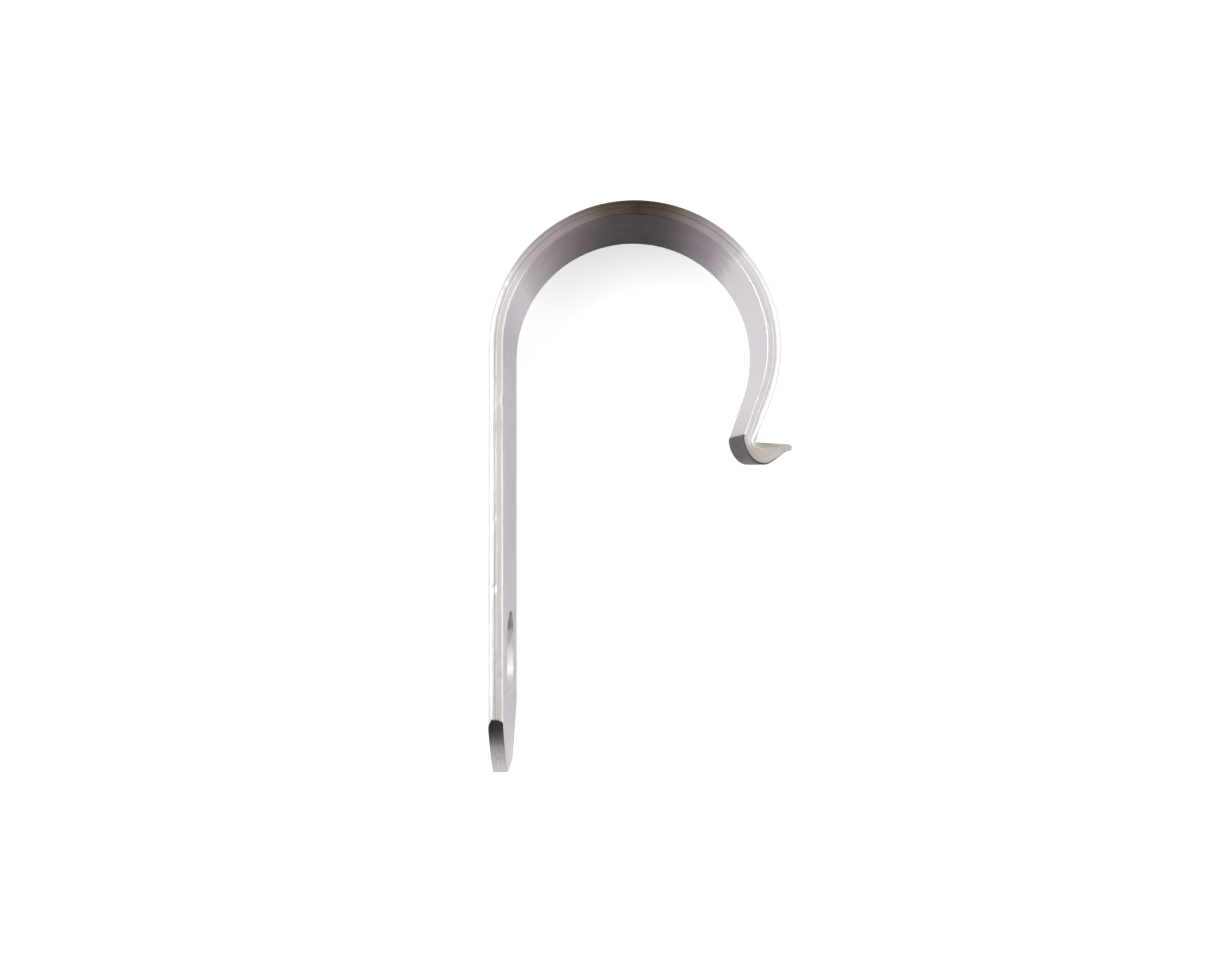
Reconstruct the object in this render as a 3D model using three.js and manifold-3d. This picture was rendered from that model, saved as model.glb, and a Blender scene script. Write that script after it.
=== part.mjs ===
// A crook hook made from one length of flat metal strip, lying on one of its long edges.
//
// X runs across the hook, +Y points from the leg's tip towards the crook, and the strip's width runs
// up +Z. The origin is under the middle of the hook, on the surface that it lies on. Millimetres.

import * as THREE from 'three';
import { mergeVertices } from 'three/addons/utils/BufferGeometryUtils.js';
import Module from 'manifold-3d';

// Strip
const STRIP_WIDTH = 25;
const STRIP_THICKNESS = 3;
const EDGE_ROUND = 0.45;

// Crook: a round bend about its own centre, which runs on past the far side into a straight neck
const CROOK_OUTER_RADIUS = 28.6;
const CROOK_INNER_RADIUS = CROOK_OUTER_RADIUS - STRIP_THICKNESS;
const CROOK_END_ANGLE = THREE.MathUtils.degToRad(-22);

// Leg: straight, from the crook's tangent down to a tip that is narrowed from both edges
const LEG_LENGTH = 85.3;
const TIP_WIDTH = 8.6;
const TIP_TAPER_LENGTH = 12.7;
const TIP_CROWN = 0.7;

// Slot through the leg, with round ends
const SLOT_WIDTH = 11;
const SLOT_LENGTH = 17.6;
const SLOT_ABOVE_TIP = 23.2;

// Toe: folded outward at the neck's foot, thick at the heel and thin at a lip that curls up.
// Each place is measured from the crook's centre.
const FOLD = new THREE.Vector2(21.0, -17.5);
const TOE_ROOT = new THREE.Vector2(23.35, -18.6);
const TOE_BOTTOM = new THREE.Vector2(25.1, -23.0);
const TOE_LIP = new THREE.Vector2(30.7, -19.6);
const LIP_RADIUS = 0.65;
const TOE_TOP_DIP = 0.15;

// Handles of the two curves under the toe: which way, and how strongly, they leave those places
const LIP_RUN = new THREE.Vector2(-2, 0);
const BOTTOM_RUN = new THREE.Vector2(1.7, 0);
const HEEL_RUN = new THREE.Vector2(-2.2, 0);
const FOLD_RUN = new THREE.Vector2(0.1, -2.8);

// Corners cut off the toe's lip
const TOE_TAPER_LENGTH = 3.1;
const TOE_CUT_DEPTH = 5;

const ARC_STEPS = 16;
const EDGE_STEPS = 2;
const CUT_CLEARANCE = 5;
const MERGE_DISTANCE = 1e-4;

// The hook's corners, from the crook's centre, give the middle of its box
const HOOK_LEFT = -CROOK_OUTER_RADIUS;
const HOOK_RIGHT = TOE_LIP.x + LIP_RADIUS;
const HOOK_TOP = CROOK_OUTER_RADIUS;
const HOOK_BOTTOM = -LEG_LENGTH;

const manifoldLibrary = await Module();
manifoldLibrary.setup();
const { Manifold, Mesh } = manifoldLibrary;

const satinSteel = new THREE.MeshStandardMaterial({ color: 0xc9c6cc, roughness: 0.32, metalness: 1 });

function toManifold(geometry) {
  const bare = geometry.clone();
  bare.deleteAttribute('normal');
  bare.deleteAttribute('uv');
  const merged = mergeVertices(bare, MERGE_DISTANCE);
  return new Manifold(new Mesh({
    numProp: 3,
    vertProperties: new Float32Array(merged.attributes.position.array),
    triVerts: new Uint32Array(merged.index.array),
  }));
}

function toGeometry(solid) {
  const mesh = solid.getMesh();
  const geometry = new THREE.BufferGeometry();
  geometry.setAttribute('position', new THREE.BufferAttribute(mesh.vertProperties, 3));
  geometry.setIndex(new THREE.BufferAttribute(mesh.triVerts, 1));
  geometry.computeVertexNormals();
  return geometry;
}

function bendTo(outline, leaving, arriving, end) {
  outline.bezierCurveTo(leaving.x, leaving.y, arriving.x, arriving.y, end.x, end.y);
}

// The strip seen edge-on: up the leg's outer face, over the crook, round the toe and back inside.
function sideProfile() {
  const outline = new THREE.Shape();
  outline.moveTo(HOOK_LEFT, HOOK_BOTTOM);
  outline.lineTo(HOOK_LEFT, 0);
  outline.absarc(0, 0, CROOK_OUTER_RADIUS, Math.PI, CROOK_END_ANGLE, true);
  outline.lineTo(TOE_ROOT.x, TOE_ROOT.y);
  outline.quadraticCurveTo(
    (TOE_ROOT.x + TOE_LIP.x) / 2, TOE_ROOT.y - TOE_TOP_DIP,
    TOE_LIP.x, TOE_LIP.y + LIP_RADIUS,
  );
  outline.absarc(TOE_LIP.x, TOE_LIP.y, LIP_RADIUS, Math.PI / 2, -Math.PI / 2, true);
  const belowLip = new THREE.Vector2(TOE_LIP.x, TOE_LIP.y - LIP_RADIUS);
  bendTo(outline, belowLip.clone().add(LIP_RUN), TOE_BOTTOM.clone().add(BOTTOM_RUN), TOE_BOTTOM);
  bendTo(outline, TOE_BOTTOM.clone().add(HEEL_RUN), FOLD.clone().add(FOLD_RUN), FOLD);
  outline.absarc(0, 0, CROOK_INNER_RADIUS, CROOK_END_ANGLE, Math.PI, false);
  outline.lineTo(-CROOK_INNER_RADIUS, HOOK_BOTTOM);
  outline.closePath();
  return outline;
}

function bentStrip() {
  const geometry = new THREE.ExtrudeGeometry(sideProfile(), {
    depth: STRIP_WIDTH - 2 * EDGE_ROUND,
    curveSegments: ARC_STEPS,
    bevelThickness: EDGE_ROUND,
    bevelSize: EDGE_ROUND,
    bevelOffset: -EDGE_ROUND,
    bevelSegments: EDGE_STEPS,
  });
  geometry.translate(0, 0, EDGE_ROUND);
  return toManifold(geometry);
}

// A prism along X, from an outline drawn along the leg (first axis) and across its width (second).
function acrossLeg(outline) {
  const geometry = new THREE.ExtrudeGeometry(outline, {
    depth: STRIP_THICKNESS + 2 * CUT_CLEARANCE,
    curveSegments: ARC_STEPS,
    bevelEnabled: false,
  });
  geometry.rotateX(Math.PI / 2);
  geometry.rotateZ(Math.PI / 2);
  geometry.translate(HOOK_LEFT - CUT_CLEARANCE, 0, 0);
  return toManifold(geometry);
}

function slotCutter() {
  const endRadius = SLOT_WIDTH / 2;
  const halfStraight = SLOT_LENGTH / 2 - endRadius;
  const middle = HOOK_BOTTOM + SLOT_ABOVE_TIP;
  const outline = new THREE.Shape();
  outline.absarc(middle + halfStraight, STRIP_WIDTH / 2, endRadius, -Math.PI / 2, Math.PI / 2, false);
  outline.absarc(middle - halfStraight, STRIP_WIDTH / 2, endRadius, Math.PI / 2, Math.PI * 1.5, false);
  return acrossLeg(outline);
}

// One corner cut off the leg's tip, along a slight crown that swells out between its two ends.
// edge is 0 or STRIP_WIDTH, and inward points to the middle from it.
function tipCutter(edge, inward) {
  const start = new THREE.Vector2(HOOK_BOTTOM + TIP_TAPER_LENGTH, edge);
  const end = new THREE.Vector2(HOOK_BOTTOM, edge + inward * (STRIP_WIDTH - TIP_WIDTH) / 2);
  const run = end.clone().sub(start);
  const outward = new THREE.Vector2(-Math.abs(run.y), -inward * Math.abs(run.x)).normalize();
  const crown = start.clone().add(end).multiplyScalar(0.5).addScaledVector(outward, 2 * TIP_CROWN);
  const beforeStart = start.clone().addScaledVector(crown.clone().sub(start).normalize(), -CUT_CLEARANCE);
  const afterEnd = end.clone().addScaledVector(end.clone().sub(crown).normalize(), CUT_CLEARANCE);
  const outline = new THREE.Shape();
  outline.moveTo(beforeStart.x, beforeStart.y);
  outline.lineTo(start.x, start.y);
  outline.quadraticCurveTo(crown.x, crown.y, end.x, end.y);
  outline.lineTo(afterEnd.x, afterEnd.y);
  outline.lineTo(afterEnd.x, beforeStart.y);
  outline.closePath();
  return acrossLeg(outline);
}

// One corner cut off the toe's lip, as on the leg's tip: a prism through the toe's thickness.
function lipCutter(edge, inward) {
  const slope = TOE_CUT_DEPTH / TOE_TAPER_LENGTH;
  const past = CUT_CLEARANCE;
  const outline = new THREE.Shape();
  outline.moveTo(HOOK_RIGHT - TOE_TAPER_LENGTH - past, edge - inward * past * slope);
  outline.lineTo(HOOK_RIGHT + past, edge + inward * (TOE_CUT_DEPTH + past * slope));
  outline.lineTo(HOOK_RIGHT + past, edge - inward * past * slope);
  outline.closePath();
  const depth = TOE_ROOT.y - TOE_BOTTOM.y + 2 * past;
  const geometry = new THREE.ExtrudeGeometry(outline, { depth, bevelEnabled: false });
  geometry.rotateX(Math.PI / 2);
  geometry.translate(0, TOE_ROOT.y + past, 0);
  return toManifold(geometry);
}

function stripHook() {
  const solid = bentStrip()
    .subtract(slotCutter())
    .subtract(tipCutter(0, 1))
    .subtract(tipCutter(STRIP_WIDTH, -1))
    .subtract(lipCutter(0, 1))
    .subtract(lipCutter(STRIP_WIDTH, -1));
  const hook = new THREE.Mesh(toGeometry(solid), satinSteel);
  hook.name = 'bent_strip';
  hook.position.set(-(HOOK_LEFT + HOOK_RIGHT) / 2, -(HOOK_TOP + HOOK_BOTTOM) / 2, 0);
  return hook;
}

const crookHook = new THREE.Group();
crookHook.add(stripHook());

export default crookHook;
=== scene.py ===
"""A crook hook of flat metal strip, lying on one long edge on a pale table, seen from straight above.

The strip is one swept mesh with sheared long edges, cut by a slot and by slanting ends, as the real one is.
Units are metres. The axes are the frame's: X across the hook, +Y towards the crook, Z up.
"""

import math

import bmesh
import bpy
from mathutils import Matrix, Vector, noise


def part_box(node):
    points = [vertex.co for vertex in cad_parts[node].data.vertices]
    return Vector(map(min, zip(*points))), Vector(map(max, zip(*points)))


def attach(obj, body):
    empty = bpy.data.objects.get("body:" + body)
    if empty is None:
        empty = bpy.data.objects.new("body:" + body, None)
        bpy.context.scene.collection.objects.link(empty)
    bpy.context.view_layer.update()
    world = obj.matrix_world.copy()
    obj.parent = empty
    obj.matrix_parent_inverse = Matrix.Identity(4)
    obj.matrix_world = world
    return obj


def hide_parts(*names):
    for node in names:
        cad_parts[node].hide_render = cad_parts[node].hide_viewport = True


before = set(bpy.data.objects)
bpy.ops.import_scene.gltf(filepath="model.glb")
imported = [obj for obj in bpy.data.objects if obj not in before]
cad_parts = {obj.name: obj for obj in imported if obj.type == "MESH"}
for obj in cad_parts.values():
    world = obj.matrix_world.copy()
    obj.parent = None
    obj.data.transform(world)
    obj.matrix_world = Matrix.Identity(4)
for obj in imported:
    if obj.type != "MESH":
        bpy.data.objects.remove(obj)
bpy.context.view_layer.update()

MM = 0.001

# ---------------------------------------------------------------- sizes, worked out from the frame

BOX_LOW, BOX_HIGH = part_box("bent_strip")
STRIP_WIDTH = BOX_HIGH.z - BOX_LOW.z
STRIP_THICKNESS = 3 * MM
MID_HEIGHT = (BOX_LOW.z + BOX_HIGH.z) / 2

CROOK_OUTER = 28.6 * MM
CROOK_INNER = CROOK_OUTER - STRIP_THICKNESS
CROOK_END = math.radians(-22)
CROOK_CENTRE = Vector((BOX_LOW.x + CROOK_OUTER, BOX_HIGH.y - CROOK_OUTER))
LEG_TIP = BOX_LOW.y - CROOK_CENTRE.y
TOE_TIP = BOX_HIGH.x - CROOK_CENTRE.x

TIP_WIDTH = 8.6 * MM
TIP_TAPER = 12.7 * MM
TIP_CROWN = 0.7 * MM
SLOT_WIDTH = 11 * MM
SLOT_LENGTH = 17.6 * MM
SLOT_MIDDLE = LEG_TIP + 23.2 * MM

# The toe's corners, measured from the crook's centre
FOLD = Vector((21.0, -17.5)) * MM
TOE_ROOT = Vector((23.35, -18.6)) * MM
TOE_BOTTOM = Vector((25.1, -23.0)) * MM
LIP_RADIUS = 0.65 * MM
LIP = Vector((TOE_TIP - LIP_RADIUS, -19.6 * MM))
TOE_TOP_DIP = 0.15 * MM
TOE_TAPER = 3.1 * MM
TOE_CUT_DEPTH = 5 * MM

# Handles of the two curves under the toe: which way, and how strongly, they leave those places
LIP_RUN = Vector((-2, 0)) * MM
BOTTOM_RUN = Vector((1.7, 0)) * MM
HEEL_RUN = Vector((-2.2, 0)) * MM
FOLD_RUN = Vector((0.1, -2.8)) * MM
HEEL_FAN = 2.2            # how strongly the toe's sections fan out round its heel
LIP_TURN = math.radians(84)    # how far round the lip the last section is, short of closing it to a line

# A sheared edge: well rounded on the outer side and sharper on the inner one, as shares of half the
# thickness, a slight crown between them, and the fine line where the metal parted
OUTER_ROUND = 0.55
INNER_ROUND = 0.14
EDGE_CROWN = 0.14 * MM
CROWN_LIMIT = 0.2         # as a share of half the thickness
SHEAR_LINE_WIDTH = 0.16 * MM
SHEAR_LINE_DEPTH = 0.035 * MM

CUT_BEVEL = 0.16 * MM
CUT_BEVEL_STEPS = 2
CUT_BEVEL_FROM = math.radians(38)    # corners that are sharper than this get the bevel
SHARP_FROM = math.radians(35)        # and corners that are sharper than this are not shaded smooth
PAST = 6 * MM                        # how far a cutter reaches out of the strip

# Work marks: low waves everywhere, nicks within reach of the long edges, and a few dents on the leg. A dent
# is a place (in from the outer face, up from the crook's centre, down from the upper edge), its reach and
# its depth.
WAVE_DEPTH = 0.035 * MM
WAVE_LENGTH = 9 * MM
NICK_DEPTH = 0.1 * MM
NICK_LENGTH = 1.6 * MM
NICK_RARITY = 0.35
EDGE_REACH = 0.8 * MM
DENTS = (
    (Vector((3.0, -10.4, 1.0)) * MM, 1.7 * MM, 0.2 * MM),
    (Vector((3.0, -6.4, 15.0)) * MM, 1.6 * MM, 0.08 * MM),
    (Vector((2.2, -15.6, 0.0)) * MM, 1.3 * MM, 0.12 * MM),
    (Vector((1.0, -47.0, 0.0)) * MM, 1.1 * MM, 0.1 * MM),
)

# How finely each stretch of the mesh is divided
LEG_STEPS = 230
CROOK_STEPS = 230
NECK_STEPS = 18
TOE_STEPS = 48
LIP_STEPS = 5
CORNER_STEPS = 5
EDGE_STEPS = 8
WIDTH_STEPS = 42
SLOT_END_STEPS = 28
TIP_STEPS = 10

MIDDLE_ZONE = STRIP_WIDTH / 20    # points this close to a face's middle line count as being on it


# ---------------------------------------------------------------- the strip's two faces, seen edge-on

def bezier(t, *points):
    """The point at t on the curve that those control points draw."""
    points = list(points)
    while len(points) > 1:
        points = [a.lerp(b, t) for a, b in zip(points, points[1:])]
    return points[0]


def on_circle(radius, angle):
    return Vector((radius * math.cos(angle), radius * math.sin(angle)))


def toe_underside(t):
    """From the fold round the heel, for t up to a half, and on along the bottom to the lip."""
    if t < 0.5:
        return bezier(2 * t, FOLD, FOLD + FOLD_RUN, TOE_BOTTOM + HEEL_RUN, TOE_BOTTOM)
    below_lip = LIP - Vector((0, LIP_RADIUS))
    return bezier(2 * t - 1, TOE_BOTTOM, TOE_BOTTOM + BOTTOM_RUN, below_lip + LIP_RUN, below_lip)


def toe_top(t):
    above_lip = LIP + Vector((0, LIP_RADIUS))
    dip = Vector(((TOE_ROOT.x + LIP.x) / 2, TOE_ROOT.y - TOE_TOP_DIP))
    return bezier(t, TOE_ROOT, dip, above_lip)


def strip_faces():
    """Pairs of points, on the face that is outside the crook and on the one inside it, from tip to lip."""
    pairs = []
    for i in range(LEG_STEPS):
        along = LEG_TIP * (1 - i / LEG_STEPS)
        pairs.append((Vector((-CROOK_OUTER, along)), Vector((-CROOK_INNER, along))))
    for i in range(CROOK_STEPS):
        angle = math.pi + (CROOK_END - math.pi) * i / CROOK_STEPS
        pairs.append((on_circle(CROOK_OUTER, angle), on_circle(CROOK_INNER, angle)))
    neck_outer, neck_inner = on_circle(CROOK_OUTER, CROOK_END), on_circle(CROOK_INNER, CROOK_END)
    for i in range(NECK_STEPS):
        t = i / NECK_STEPS
        pairs.append((neck_outer.lerp(TOE_ROOT, t), neck_inner.lerp(FOLD, t)))
    for i in range(TOE_STEPS + 1):
        t = i / TOE_STEPS
        pairs.append((toe_top(t ** HEEL_FAN), toe_underside(t)))
    for i in range(1, LIP_STEPS + 1):
        turn = LIP_TURN * i / LIP_STEPS
        middle = LIP + Vector((LIP_RADIUS * math.sin(turn), 0))
        half = Vector((0, LIP_RADIUS * math.cos(turn)))
        pairs.append((middle + half, middle - half))
    return pairs


def edge_profile(half_thickness):
    """One long edge from its outer side to its inner one: (across the thickness, height from the top)."""
    outer, inner = OUTER_ROUND * half_thickness, INNER_ROUND * half_thickness
    turns = [math.pi / 2 * i / CORNER_STEPS for i in range(CORNER_STEPS)]
    places = [(half_thickness - outer * (1 - math.cos(turn)), outer * (math.sin(turn) - 1)) for turn in turns]
    places += [((half_thickness - outer) * (1 - i / EDGE_STEPS), 0.0) for i in range(EDGE_STEPS)]
    places += [((inner - half_thickness) * i / EDGE_STEPS, 0.0) for i in range(EDGE_STEPS)]
    places += [(inner * (1 - math.cos(turn)) - half_thickness, inner * (math.sin(turn) - 1))
               for turn in [math.pi / 2] + turns[::-1]]
    crown = min(EDGE_CROWN, half_thickness * CROWN_LIMIT)
    profile = []
    for a, height in places:
        drop = crown * (a / half_thickness) ** 2
        groove = SHEAR_LINE_DEPTH * max(0.0, 1 - abs(a) / SHEAR_LINE_WIDTH)
        profile.append((a, height - drop - groove))
    return profile


def section(half_thickness):
    """A closed loop round the strip: (across its thickness, across its width), from the outer face's top."""
    half_width = STRIP_WIDTH / 2
    profile = edge_profile(half_thickness)
    upper = [Vector((a, half_width + height)) for a, height in profile]
    lower = [Vector((a, -half_width - height)) for a, height in reversed(profile)]
    inner, outer = [], []
    for i in range(1, WIDTH_STEPS):
        inner.append(upper[-1].lerp(lower[0], i / WIDTH_STEPS))
        outer.append(lower[-1].lerp(upper[0], i / WIDTH_STEPS))
    return upper + inner + lower + outer


def loop_lengths(points):
    """How far round the loop each point is from the inner face's middle, with one more for the loop's end."""
    reached = [0.0]
    for a, b in zip(points, points[1:] + points[:1]):
        reached.append(reached[-1] + (b - a).length)
    middle = min(range(len(points)), key=lambda i: (abs(points[i].y) > MIDDLE_ZONE, points[i].x))
    start = reached[middle] + abs(points[middle].y)
    return [length - start for length in reached]


def lengths_along(pairs):
    """How far along the strip each pair of points is from the leg's tip."""
    middles = [(outer + inner) / 2 for outer, inner in pairs]
    reached = [0.0]
    for a, b in zip(middles, middles[1:]):
        reached.append(reached[-1] + (b - a).length)
    return reached


def swept_strip():
    """The whole strip, with a UV map in metres: how far along the strip, and how far round it."""
    mesh = bmesh.new()
    uv = mesh.loops.layers.uv.new("strip")
    pairs = strip_faces()
    along = lengths_along(pairs)
    rings, around = [], []
    for outer, inner in pairs:
        middle = (outer + inner) / 2 + CROOK_CENTRE
        across = (outer - inner).normalized()
        points = section((outer - inner).length / 2)
        ring = []
        for a, w in points:
            place = middle + across * a
            ring.append(mesh.verts.new((place.x, place.y, MID_HEIGHT + w)))
        rings.append(ring)
        around.append(loop_lengths(points))
    for n in range(len(rings) - 1):
        ring, after = rings[n], rings[n + 1]
        for i in range(len(ring)):
            j = (i + 1) % len(ring)
            face = mesh.faces.new((ring[i], ring[j], after[j], after[i]))
            spots = ((n, i), (n, i + 1), (n + 1, i + 1), (n + 1, i))
            for corner, (m, k) in zip(face.loops, spots):
                corner[uv].uv = (along[m], around[m][k])
    mesh.faces.new(list(reversed(rings[0])))
    mesh.faces.new(rings[-1])
    bmesh.ops.recalc_face_normals(mesh, faces=mesh.faces)
    return finished_object("bent_strip_body", mesh)


def finished_object(name, mesh):
    data = bpy.data.meshes.new(name)
    mesh.to_mesh(data)
    mesh.free()
    made = bpy.data.objects.new(name, data)
    bpy.context.scene.collection.objects.link(made)
    return made


# ---------------------------------------------------------------- the slot and the slanting ends

def prism(name, outline, axis, low, high, material):
    """A closed prism of that outline, which lies across the axis, "x" or "y", from low to high."""
    def place(depth, point):
        return (depth, point[0], point[1]) if axis == "x" else (point[0], depth, point[1])

    mesh = bmesh.new()
    ends = [[mesh.verts.new(place(depth, p)) for p in outline] for depth in (low, high)]
    for end in ends:
        mesh.faces.new(end)
    for i in range(len(outline)):
        j = (i + 1) % len(outline)
        mesh.faces.new((ends[0][i], ends[0][j], ends[1][j], ends[1][i]))
    bmesh.ops.recalc_face_normals(mesh, faces=mesh.faces)
    made = finished_object(name, mesh)
    made.data.materials.append(material)
    return made


def slot_outline():
    radius = SLOT_WIDTH / 2
    straight = SLOT_LENGTH / 2 - radius
    outline = []
    for end in (1, -1):
        for i in range(SLOT_END_STEPS + 1):
            turn = math.pi * (i / SLOT_END_STEPS - 0.5)
            y = CROOK_CENTRE.y + SLOT_MIDDLE + end * (straight + radius * math.cos(turn))
            outline.append((y, MID_HEIGHT + end * radius * math.sin(turn)))
    return outline


def tip_outline(side):
    """What comes off one corner of the leg's tip, along a slight crown. side is +1 at the upper edge."""
    edge = MID_HEIGHT + side * STRIP_WIDTH / 2
    start = Vector((BOX_LOW.y + TIP_TAPER, edge))
    end = Vector((BOX_LOW.y, edge - side * (STRIP_WIDTH - TIP_WIDTH) / 2))
    run = end - start
    outward = Vector((-abs(run.y), side * abs(run.x))).normalized()
    crown = (start + end) / 2 + outward * 2 * TIP_CROWN
    before = start - (crown - start).normalized() * PAST
    after = end + (end - crown).normalized() * PAST
    curve = [bezier(i / TIP_STEPS, start, crown, end) for i in range(TIP_STEPS + 1)]
    return [before, *curve, after, Vector((after.x, before.y))]


def lip_outline(side):
    """What comes off one corner of the toe's lip."""
    edge = MID_HEIGHT + side * STRIP_WIDTH / 2
    slope = TOE_CUT_DEPTH / TOE_TAPER
    return [
        (BOX_HIGH.x - TOE_TAPER - PAST, edge + side * PAST * slope),
        (BOX_HIGH.x + PAST, edge - side * (TOE_CUT_DEPTH + PAST * slope)),
        (BOX_HIGH.x + PAST, edge + side * PAST * slope),
    ]


def cutters(material):
    """The solids to cut off the strip. The faces that they leave get the cutters' material."""
    leg = (BOX_LOW.x - PAST, BOX_LOW.x + STRIP_THICKNESS + PAST)
    toe = (CROOK_CENTRE.y + TOE_BOTTOM.y - PAST, CROOK_CENTRE.y + TOE_ROOT.y + PAST)
    made = [prism("slot_cutter", slot_outline(), "x", *leg, material)]
    for side in (1, -1):
        made.append(prism("tip_cutter", tip_outline(side), "x", *leg, material))
        made.append(prism("lip_cutter", lip_outline(side), "y", *toe, material))
    return made


def shade(piece):
    """Smooth shading that keeps flat faces flat, right up to their bevelled corners."""
    for face in piece.data.polygons:
        face.use_smooth = True
    piece.data.set_sharp_from_angle(angle=SHARP_FROM)
    weighted = piece.modifiers.new("weighted_normals", "WEIGHTED_NORMAL")
    weighted.keep_sharp = True
    apply_modifiers(piece)


def apply_modifiers(piece):
    bpy.context.view_layer.update()
    evaluated = piece.evaluated_get(bpy.context.evaluated_depsgraph_get())
    data = bpy.data.meshes.new_from_object(evaluated)
    piece.modifiers.clear()
    piece.data = data


def cut(piece, tools):
    """Takes the tools' solids off the piece, bevels the corners that they leave, and removes the tools."""
    for tool in tools:
        step = piece.modifiers.new(tool.name, "BOOLEAN")
        step.operation = "DIFFERENCE"
        step.solver = "EXACT"
        step.material_mode = "TRANSFER"
        step.object = tool
    edge = piece.modifiers.new("cut_edges", "BEVEL")
    edge.width = CUT_BEVEL
    edge.segments = CUT_BEVEL_STEPS
    edge.limit_method = "ANGLE"
    edge.angle_limit = CUT_BEVEL_FROM
    apply_modifiers(piece)
    for tool in tools:
        bpy.data.objects.remove(tool, do_unlink=True)


def work_marks(piece):
    """Moves the surface a little, as rolling, bending and handling leave it."""
    dents = [(Vector((BOX_LOW.x + place.x, CROOK_CENTRE.y + place.y, BOX_HIGH.z - place.z)), reach, sink)
             for place, reach, sink in DENTS]
    moves = []
    for vertex in piece.data.vertices:
        at = vertex.co
        depth = WAVE_DEPTH * (0.5 + 0.5 * noise.noise(at / WAVE_LENGTH))
        if abs(at.z - MID_HEIGHT) > STRIP_WIDTH / 2 - EDGE_REACH:
            depth += NICK_DEPTH * max(0.0, noise.noise(at / NICK_LENGTH) - NICK_RARITY)
        for place, reach, sink in dents:
            near = max(0.0, 1 - (at - place).length / reach)
            depth += sink * near * near * (3 - 2 * near)    # a smooth step, for a soft rim
        moves.append(-depth * vertex.normal)
    for vertex, move in zip(piece.data.vertices, moves):
        vertex.co += move


# ---------------------------------------------------------------- materials

# Colours of the rolled strip
FACE_DARK, FACE_LIGHT = (0.55, 0.525, 0.555, 1), (0.605, 0.58, 0.61, 1)
FACE_STAIN = (0.46, 0.43, 0.44, 1)
# Painted highlight: a lighter copy of the metal on the long edges
EDGE_HIGHLIGHT = (0.86, 0.845, 0.835, 1)
# Painted highlight on the inner face at the left shoulder and along the right arm
INNER_FACE_HIGHLIGHT = (0.87, 0.855, 0.85, 1)
GRAIN = (0.33, 0.315, 0.335, 1)
HAIRLINE = (0.78, 0.77, 0.78, 1)
# Painted shade along the shear line's groove
SHEAR_LINE_SHADE = (0.3, 0.29, 0.28, 1)
# Painted shade on the heel, under the toe's fold
FOLD_SHADE = (0.03, 0.026, 0.027, 1)
DULL_TOE = (0.7, 0.665, 0.635, 1)
GLANCING = (0.72, 0.7, 0.735, 1)

# Painted shade over the crest: what is left of the metal's colour, from the crest at 0 to where the shade
# ends at 1
CREST_SHADE = (
    (0.0, (0.07, 0.058, 0.056, 1)),
    (0.22, (0.125, 0.104, 0.103, 1)),
    (0.34, (0.215, 0.184, 0.184, 1)),
    (0.48, (0.35, 0.305, 0.315, 1)),
    (0.72, (0.56, 0.51, 0.53, 1)),
    (0.9, (0.75, 0.72, 0.72, 1)),
    (1.0, (1, 1, 1, 1)),
)
# Where the painted shade over the crest is deepest, how far it reaches each way, and its deepest colours
CREST_SHADE_AT = math.radians(87)
CREST_SHADE_TO_LEG = 30.3 * MM
CREST_SHADE_TO_TOE = 22.2 * MM
DEEPEST_SHADE_ON_FACE = (0.75, 0.72, 0.79, 1)
DEEPEST_SHADE_ON_EDGE = (1, 0.98, 0.8, 1)

# Colours of the sheared metal
SHEARED_DARK, SHEARED_LIGHT = (0.42, 0.4, 0.405, 1), (0.56, 0.54, 0.545, 1)
SHEARED_STAIN = (0.22, 0.2, 0.21, 1)
# Painted highlight at the slot's end near the tip
SLOT_END_HIGHLIGHT = (0.95, 0.94, 0.93, 1)
# Painted shade where the slanting cuts start, at the slot's other end and on the toe's lip
SHADE_PATCH = (0.03, 0.027, 0.034, 1)

# How finely the patterns repeat, per metre. On the rolled strip three numbers stand for along it, round it
# and nothing, and on the sheared metal for X, Y and Z.
GRAIN_SCALE = (90, 6000, 1)
HAIRLINE_SCALE = (120, 7000, 1)
BROAD_SCALE = (30, 45, 1)
HAIRLINE_PATCH_SCALE = 170
CLOUD_SCALE = 260
SPECKLE_SCALE = 2600
STREAK_SCALE = (3500, 350, 350)
SHEARED_CLOUD_SCALE = 420

MOST_NOISE = (0.3, 0.7)          # nearly all of a noise's values lie between these
HAIRLINE_TURNS = (9, -14)        # in degrees; each set of hairlines is taken from its own part of the noise
RAGGED = 3 * MM                  # how far the clouds shift the borders of the painted shade over the crest and of the painted highlights on the shoulder and arm

# Places on the rolled strip. A pair of lengths says how far from its middle a place starts to fade, and where
# it is gone.
FACE_SPAN = (11.9 * MM, 12.2 * MM)
EDGE_FROM = (11.9 * MM, 12.1 * MM)    # up or down from the strip's middle, where a long edge fades in
SHOULDER_AT, SHOULDER_SPAN = math.radians(148), (3 * MM, 13 * MM)
ARM_AT, ARM_SPAN = math.radians(5), (13 * MM, 25 * MM)
SHEAR_LINE_SPAN = (0.06 * MM, 0.2 * MM)
SHEAR_LINE_END = 3 * MM               # how long before the fold the shear line fades
FOLD_SHADE_FROM = (-0.7 * MM, -0.3 * MM)    # along the strip from its fold, where the painted shade under the toe fades in
FOLD_SHADE_TO = (3 * MM, 10 * MM)           # and where it fades out
FOLD_SHADE_SPAN = (12.3 * MM, 12.9 * MM)
TOE_FROM = (-0.5 * MM, 2 * MM)        # along the strip from its fold, where the toe's dull metal fades in

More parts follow.
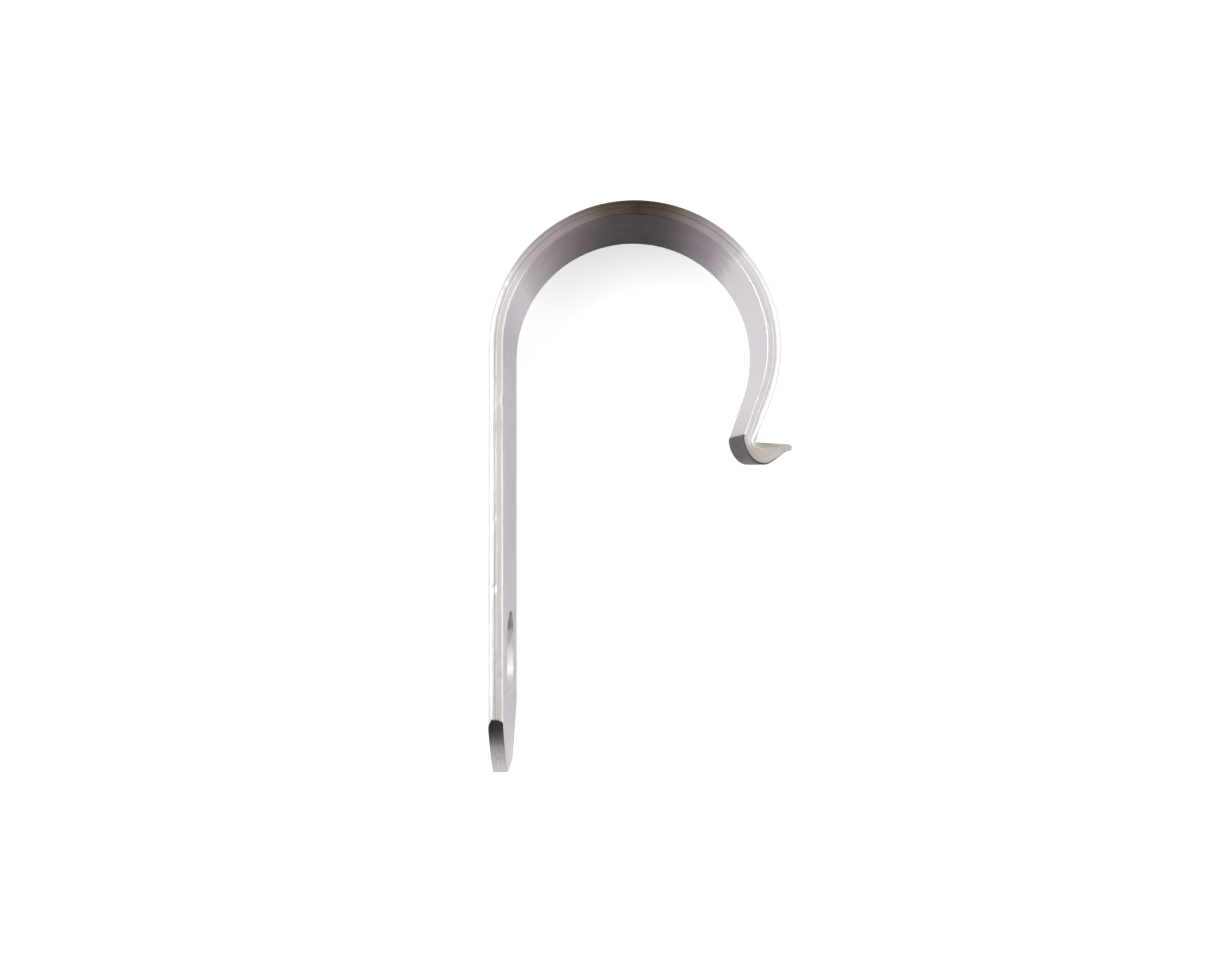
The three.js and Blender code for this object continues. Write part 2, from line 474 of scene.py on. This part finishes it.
# How much of each colour shows where it is full
# The next two are painted highlights: on the long edges, and at the left shoulder and the right arm
EDGE_HIGHLIGHT_SHOWN = 0.9
SHOULDER_HIGHLIGHT_SHOWN, ARM_HIGHLIGHT_SHOWN = 0.6, 0.7
STAIN_SHOWN = 0.3
GRAIN_SHOWN = 0.3
HAIRLINES_SHOWN = 0.5
SHEAR_LINE_SHOWN = (0.15, 0.5)        # where the broad patches are low, and where they are high
# Painted shade under the fold
FOLD_SHADE_SHOWN = 0.97
SHEARED_STAIN_SHOWN = 0.35
# Painted highlight at the slot's end
SLOT_END_HIGHLIGHT_SHOWN = 0.9

# Roughness of the rolled strip: the plain metal's range, what the grain adds, what is added over the crest
# and under the fold, and what rubbing takes off on the edges
ROUGH_RANGE = (0.29, 0.33)
ROUGH_GRAIN = 0.06
ROUGH_DULL = 0.16
ROUGH_RUBBED = 0.04
SHEARED_ROUGH_RANGE = (0.3, 0.46)

# Reach of the painted highlight at the slot's end and of each patch of painted shade: full within the first,
# and gone at the second
SLOT_HIGHLIGHT_REACH = (7 * MM, 13 * MM)
SHADE_PATCH_REACH = (2 * MM, 8.5 * MM)


class Nodes:
    """A short way to add nodes to one material."""

    def __init__(self, name):
        self.material = bpy.data.materials.new(name)
        self.material.use_nodes = True
        self.tree = self.material.node_tree
        self.shader = self.tree.nodes["Principled BSDF"]
        self.position = self.add("TexCoord").outputs["Object"]

    def add(self, kind, **settings):
        node = self.tree.nodes.new("ShaderNode" + kind)
        for key, value in settings.items():
            setattr(node, key, value)
        return node

    def fill(self, socket, value):
        """Sets a socket to a number or colour, or links another node's output to it."""
        if isinstance(value, (int, float, tuple)):
            socket.default_value = value
        else:
            self.tree.links.new(value, socket)

    def math(self, operation, first, second=0.0):
        """The result of one operation on numbers or on other nodes' outputs."""
        node = self.add("Math", operation=operation)
        self.fill(node.inputs[0], first)
        self.fill(node.inputs[1], second)
        return node.outputs["Value"]

    def plus(self, first, second):
        return self.math("ADD", first, second)

    def minus(self, first, second):
        return self.math("SUBTRACT", first, second)

    def times(self, first, second):
        return self.math("MULTIPLY", first, second)

    def larger(self, first, second):
        return self.math("MAXIMUM", first, second)

    def size(self, value):
        """The value without its sign."""
        return self.math("ABSOLUTE", value)

    def blend(self, amount, first, second, mode="MIX"):
        node = self.add("Mix", data_type="RGBA", blend_type=mode)
        self.fill(node.inputs["Factor"], amount)
        self.fill([n for n in node.inputs if n.name == "A" and n.type == "RGBA"][0], first)
        self.fill([n for n in node.inputs if n.name == "B" and n.type == "RGBA"][0], second)
        return [n for n in node.outputs if n.type == "RGBA"][0]

    def spread(self, value, low, high, new_low=0.0, new_high=1.0):
        """A smooth step: new_low where the value is low or less, and new_high where it is high or more."""
        node = self.add("MapRange", interpolation_type="SMOOTHSTEP")
        for name, setting in (("Value", value), ("From Min", low), ("From Max", high),
                              ("To Min", new_low), ("To Max", new_high)):
            self.fill(node.inputs[name], setting)
        return node.outputs["Result"]

    def ramp(self, value, stops):
        """The colour for a value from 0 to 1, where each stop is a place and its colour."""
        node = self.add("ValToRGB")
        elements = node.color_ramp.elements
        while len(elements) < len(stops):
            elements.new(0.5)
        for element, (place, colour) in zip(elements, stops):
            element.position = place
            element.color = colour
        self.fill(node.inputs["Fac"], value)
        return node.outputs["Color"]

    def noise(self, vector, scale, detail=3.0):
        node = self.add("TexNoise")
        self.fill(node.inputs["Vector"], vector)
        self.fill(node.inputs["Scale"], scale)
        self.fill(node.inputs["Detail"], detail)
        return node.outputs["Fac"]

    def stretched(self, vector, scale, turn=0.0):
        """The vector scaled by three numbers, and then turned about Z, in radians."""
        node = self.add("Mapping")
        self.fill(node.inputs["Vector"], vector)
        self.fill(node.inputs["Scale"], scale)
        self.fill(node.inputs["Rotation"], (0.0, 0.0, turn))
        return node.outputs["Vector"]

    def parts(self, vector):
        node = self.add("SeparateXYZ")
        self.fill(node.inputs["Vector"], vector)
        return node.outputs["X"], node.outputs["Y"], node.outputs["Z"]

    def near(self, place, inner, outer):
        """1 within inner metres of a place, and 0 beyond outer metres."""
        apart = self.add("VectorMath", operation="DISTANCE")
        self.fill(apart.inputs[0], self.position)
        self.fill(apart.inputs[1], place)
        return self.spread(apart.outputs["Value"], outer, inner)

    def band(self, value, middle, inner, outer):
        """1 where the value is within inner of the middle, and 0 beyond outer."""
        return self.spread(self.size(self.minus(value, middle)), outer, inner)

    def bump(self, height, strength, distance):
        node = self.add("Bump")
        self.fill(node.inputs["Strength"], strength)
        self.fill(node.inputs["Distance"], distance)
        self.fill(node.inputs["Height"], height)
        self.fill(self.shader.inputs["Normal"], node.outputs["Normal"])


def along_at(angle):
    """How far along the strip, from the leg's tip, a place on the crook is."""
    return -LEG_TIP + (CROOK_OUTER - STRIP_THICKNESS / 2) * (math.pi - angle)


def fold_at():
    """How far along the strip, from the leg's tip, the toe's fold is."""
    neck_start = on_circle(CROOK_OUTER - STRIP_THICKNESS / 2, CROOK_END)
    return along_at(CROOK_END) + (neck_start - (FOLD + TOE_ROOT) / 2).length


def edge_middle():
    """How far round the strip, from the inner face's middle, the middle of either long edge is."""
    points = section(STRIP_THICKNESS / 2)
    middle = min(range(len(points)), key=lambda i: (points[i].y < 0, abs(points[i].x)))
    return abs(loop_lengths(points)[middle])


def scratches(nodes, uv, turn):
    """Sparse hairlines along the strip. Each turn, in degrees, takes them from its own part of the noise."""
    lines = nodes.noise(nodes.stretched(uv, HAIRLINE_SCALE, math.radians(turn)), 1.0, 1.0)
    patches = nodes.noise(uv, HAIRLINE_PATCH_SCALE, 2.0)
    return nodes.times(nodes.spread(lines, 0.66, 0.72), nodes.spread(patches, 0.48, 0.6))


def crest_shaded(nodes, metal, from_crest, edge):
    """Painted shade: the metal darkened towards the crest, brown on the long edges and violet on the faces.
    """
    metal = nodes.blend(1.0, metal, nodes.ramp(from_crest, CREST_SHADE), "MULTIPLY")
    deepest = nodes.blend(edge, DEEPEST_SHADE_ON_FACE, DEEPEST_SHADE_ON_EDGE)
    return nodes.blend(nodes.spread(from_crest, 0.6, 0.1), metal, deepest, "MULTIPLY")


def rolled_metal():
    """Satin nickel-grey strip, with grain along its length and hairlines, painted highlights on the edges,
    the left shoulder and the right arm, and painted shade over the crest and under the fold.
    """
    nodes = Nodes("satin_strip")
    shader = nodes.shader
    shader.inputs["Metallic"].default_value = 1
    shader.inputs["Anisotropic"].default_value = 0.3
    shader.inputs["Specular Tint"].default_value = GLANCING
    uv = nodes.add("UVMap", uv_map="strip").outputs["UV"]
    tangent = nodes.add("Tangent", direction_type="UV_MAP", uv_map="strip").outputs["Tangent"]
    nodes.fill(shader.inputs["Tangent"], tangent)
    along, around, _ = nodes.parts(uv)
    _, _, height = nodes.parts(nodes.position)

    grain = nodes.noise(nodes.stretched(uv, GRAIN_SCALE), 1.0, 4.0)
    cloud = nodes.noise(nodes.position, CLOUD_SCALE)
    broad = nodes.noise(nodes.stretched(uv, BROAD_SCALE), 1.0, 2.0)
    speckle = nodes.noise(nodes.position, SPECKLE_SCALE, 2.0)
    hairlines = nodes.larger(*[scratches(nodes, uv, turn) for turn in HAIRLINE_TURNS])
    ragged_along = nodes.plus(along, nodes.times(nodes.minus(cloud, 0.5), RAGGED))

    # Where things are: 1 there, and 0 elsewhere
    fold = fold_at()
    inner_face = nodes.band(around, 0.0, *FACE_SPAN)
    edge = nodes.spread(nodes.size(nodes.minus(height, MID_HEIGHT)), *EDGE_FROM)
    left_shoulder = nodes.band(ragged_along, along_at(SHOULDER_AT), *SHOULDER_SPAN)
    right_arm = nodes.band(ragged_along, along_at(ARM_AT), *ARM_SPAN)
    shear_line = nodes.band(nodes.size(around), edge_middle(), *SHEAR_LINE_SPAN)
    shear_line = nodes.times(shear_line, nodes.spread(along, fold, fold - SHEAR_LINE_END))
    under_fold = nodes.times(nodes.spread(along, fold + FOLD_SHADE_FROM[0], fold + FOLD_SHADE_FROM[1]),
                             nodes.spread(along, fold + FOLD_SHADE_TO[1], fold + FOLD_SHADE_TO[0]))
    under_fold = nodes.times(under_fold, nodes.band(around, 0.0, *FOLD_SHADE_SPAN))
    toe = nodes.spread(along, fold + TOE_FROM[0], fold + TOE_FROM[1])

    # Plain metal, then painted highlights on the edges, shoulder and arm, then marks along the strip and
    # painted shade on the shear line
    metal = nodes.blend(nodes.spread(cloud, 0.35, 0.65), FACE_DARK, FACE_LIGHT)
    metal = nodes.blend(nodes.spread(broad, 0.4, 0.65, 0.0, STAIN_SHOWN), metal, FACE_STAIN)
    metal = nodes.blend(nodes.times(edge, EDGE_HIGHLIGHT_SHOWN), metal, EDGE_HIGHLIGHT)
    highlighted = nodes.larger(nodes.times(left_shoulder, SHOULDER_HIGHLIGHT_SHOWN), nodes.times(right_arm, ARM_HIGHLIGHT_SHOWN))
    metal = nodes.blend(nodes.times(highlighted, inner_face), metal, INNER_FACE_HIGHLIGHT)
    metal = nodes.blend(nodes.spread(grain, *MOST_NOISE, GRAIN_SHOWN, 0.0), metal, GRAIN)
    metal = nodes.blend(nodes.times(hairlines, HAIRLINES_SHOWN), metal, HAIRLINE)
    shear_line_shade = nodes.times(shear_line, nodes.spread(broad, 0.35, 0.6, *SHEAR_LINE_SHOWN))
    metal = nodes.blend(shear_line_shade, metal, SHEAR_LINE_SHADE)

    # Painted shade over the crest and under the fold, and a duller toe
    past_crest = nodes.minus(ragged_along, along_at(CREST_SHADE_AT))
    to_leg, to_toe = nodes.times(past_crest, -1 / CREST_SHADE_TO_LEG), nodes.times(past_crest, 1 / CREST_SHADE_TO_TOE)
    from_crest = nodes.larger(to_leg, to_toe)
    metal = crest_shaded(nodes, metal, from_crest, edge)
    metal = nodes.blend(nodes.times(under_fold, FOLD_SHADE_SHOWN), metal, FOLD_SHADE)
    metal = nodes.blend(toe, metal, DULL_TOE, "MULTIPLY")
    nodes.fill(shader.inputs["Base Color"], metal)

    rough = nodes.plus(nodes.spread(cloud, *MOST_NOISE, *ROUGH_RANGE),
                       nodes.spread(grain, *MOST_NOISE, ROUGH_GRAIN, 0.0))
    dull = nodes.larger(nodes.spread(from_crest, 1.0, 0.3), under_fold)
    rough = nodes.plus(rough, nodes.times(dull, ROUGH_DULL))
    nodes.fill(shader.inputs["Roughness"], nodes.minus(rough, nodes.times(edge, ROUGH_RUBBED)))
    relief = nodes.minus(nodes.plus(grain, nodes.times(speckle, 0.5)), nodes.times(hairlines, 0.8))
    nodes.bump(relief, 0.25, 0.02 * MM)
    return nodes.material


def sheared_metal():
    """The darker, rougher metal that the press tools left in the slot and on the slanting ends."""
    nodes = Nodes("sheared_edge")
    nodes.shader.inputs["Metallic"].default_value = 1
    streaks = nodes.noise(nodes.stretched(nodes.position, STREAK_SCALE), 1.0)
    cloud = nodes.noise(nodes.position, SHEARED_CLOUD_SCALE)
    metal = nodes.blend(nodes.spread(streaks, *MOST_NOISE), SHEARED_DARK, SHEARED_LIGHT)
    metal = nodes.blend(nodes.spread(cloud, 0.55, 0.75, 0.0, SHEARED_STAIN_SHOWN), metal, SHEARED_STAIN)

    # Painted highlight at the slot's end near the tip
    slot_y = CROOK_CENTRE.y + SLOT_MIDDLE
    slot_highlight = nodes.near((BOX_LOW.x, slot_y - SLOT_LENGTH / 2, MID_HEIGHT), *SLOT_HIGHLIGHT_REACH)
    metal = nodes.blend(nodes.times(slot_highlight, SLOT_END_HIGHLIGHT_SHOWN), metal, SLOT_END_HIGHLIGHT)

    # Painted shade where the slanting cuts start, at the slot's other end and on the toe's lip: where and how
    # much
    for place, shown in (
        ((BOX_LOW.x, BOX_LOW.y + TIP_TAPER, BOX_LOW.z), 0.75),
        ((BOX_LOW.x, BOX_LOW.y + TIP_TAPER, BOX_HIGH.z), 0.75),
        ((BOX_LOW.x, slot_y + SLOT_LENGTH / 2, MID_HEIGHT), 0.3),
        ((BOX_HIGH.x, CROOK_CENTRE.y + LIP.y, BOX_HIGH.z), 0.35),
    ):
        metal = nodes.blend(nodes.times(nodes.near(place, *SHADE_PATCH_REACH), shown), metal, SHADE_PATCH)
    nodes.fill(nodes.shader.inputs["Base Color"], metal)
    nodes.fill(nodes.shader.inputs["Roughness"], nodes.spread(streaks, 0.25, 0.75, *SHEARED_ROUGH_RANGE))
    nodes.bump(streaks, 0.35, 0.03 * MM)
    return nodes.material


def plain(name, colour, roughness):
    nodes = Nodes(name)
    nodes.shader.inputs["Base Color"].default_value = colour
    nodes.shader.inputs["Roughness"].default_value = roughness
    return nodes.material


# ---------------------------------------------------------------- table, lights and camera

TABLE_REACH = 2.0
TABLE_COLOUR, TABLE_ROUGHNESS = (0.9, 0.9, 0.9, 1), 0.6
TABLE_GLOW = 0.42         # keeps the table white round the hook, with only a faint shadow

# Each soft box's name, place, two sides and power in watts
SOFT_BOXES = (
    ("left_soft_box", (-0.38, 0.02, 0.46), (0.34, 0.4), 1.2),
    ("right_soft_box", (0.5, 0.02, 0.5), (0.8, 0.8), 1.4),
)

# The black card on the near side: how far it reaches left and right, where it stands, and its two edges
FLAG_REACH = 0.3
FLAG_Y = -0.17
FLAG_LOW, FLAG_HIGH = 0.05, 0.3
FLAG_COLOUR = (0.02, 0.017, 0.015, 1)

STUDIO_COLOUR = (1.0, 0.99, 0.98, 1)
STUDIO_STRENGTH = 0.8     # as the metal and the table see it
BACKDROP_STRENGTH = 1.0   # as the camera sees it

SENSOR_WIDTH = 36         # this and the lens are in millimetres, as Blender takes them
LENS = 28
LENS_SHIFT = (-0.0107, -0.0157)
CAMERA_LEFT = 2.9 * MM    # this and the next are from the crook's centre
CAMERA_BELOW = 23.0 * MM
CAMERA_ABOVE = 183 * MM   # from the strip's upper edge
NEAREST_SEEN = 0.01


def card(name, corners, material):
    mesh = bmesh.new()
    mesh.faces.new([mesh.verts.new(c) for c in corners])
    made = finished_object(name, mesh)
    made.data.materials.append(material)
    return made


def table_top():
    surface = plain("pale_table", TABLE_COLOUR, TABLE_ROUGHNESS)
    shader = surface.node_tree.nodes["Principled BSDF"]
    shader.inputs["Emission Color"].default_value = (1, 1, 1, 1)
    shader.inputs["Emission Strength"].default_value = TABLE_GLOW
    signs = ((-1, -1), (1, -1), (1, 1), (-1, 1))
    card("table_top", [(x * TABLE_REACH, y * TABLE_REACH, 0) for x, y in signs], surface)


def black_card(name, corners):
    """A card that shapes what the metal reflects, and that nothing else sees."""
    made = card(name, corners, plain(name + "_black", FLAG_COLOUR, 1.0))
    made.visible_camera = made.visible_diffuse = made.visible_shadow = False


def soft_box(name, place, size, power):
    """A large soft light that faces the middle of the hook."""
    light = bpy.data.lights.new(name, "AREA")
    light.shape = "RECTANGLE"
    light.size, light.size_y = size
    light.energy = power
    lamp = bpy.data.objects.new(name, light)
    lamp.location = place
    lamp.rotation_mode = "QUATERNION"
    lamp.rotation_quaternion = (-Vector(place)).to_track_quat("-Z", "Y")
    bpy.context.scene.collection.objects.link(lamp)


def lights():
    for name, place, size, power in SOFT_BOXES:
        soft_box(name, place, size, power)
    black_card("near_flag", [(-FLAG_REACH, FLAG_Y, FLAG_LOW), (FLAG_REACH, FLAG_Y, FLAG_LOW),
                             (FLAG_REACH, FLAG_Y, FLAG_HIGH), (-FLAG_REACH, FLAG_Y, FLAG_HIGH)])
    world = bpy.data.worlds.new("studio")
    world.use_nodes = True
    background = world.node_tree.nodes["Background"]
    background.inputs["Color"].default_value = STUDIO_COLOUR
    seen = world.node_tree.nodes.new("ShaderNodeLightPath").outputs["Is Camera Ray"]
    strength = world.node_tree.nodes.new("ShaderNodeMapRange")
    strength.inputs["To Min"].default_value = STUDIO_STRENGTH
    strength.inputs["To Max"].default_value = BACKDROP_STRENGTH
    world.node_tree.links.new(seen, strength.inputs["Value"])
    world.node_tree.links.new(strength.outputs["Result"], background.inputs["Strength"])
    bpy.context.scene.world = world
    bpy.context.scene.view_settings.view_transform = "Standard"


def camera():
    """Straight down on the upper edge, from close by, a little below and left of the crook's centre."""
    data = bpy.data.cameras.new("camera")
    data.sensor_width = SENSOR_WIDTH
    data.lens = LENS
    data.shift_x, data.shift_y = LENS_SHIFT
    data.clip_start = NEAREST_SEEN
    view = bpy.data.objects.new("camera", data)
    view.location = (CROOK_CENTRE.x - CAMERA_LEFT, CROOK_CENTRE.y - CAMERA_BELOW, BOX_HIGH.z + CAMERA_ABOVE)
    bpy.context.scene.collection.objects.link(view)
    bpy.context.scene.camera = view


camera()
lights()
table_top()

strip = swept_strip()
strip.data.materials.append(rolled_metal())
cut(strip, cutters(sheared_metal()))
work_marks(strip)
shade(strip)
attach(strip, "root")
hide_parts("bent_strip")
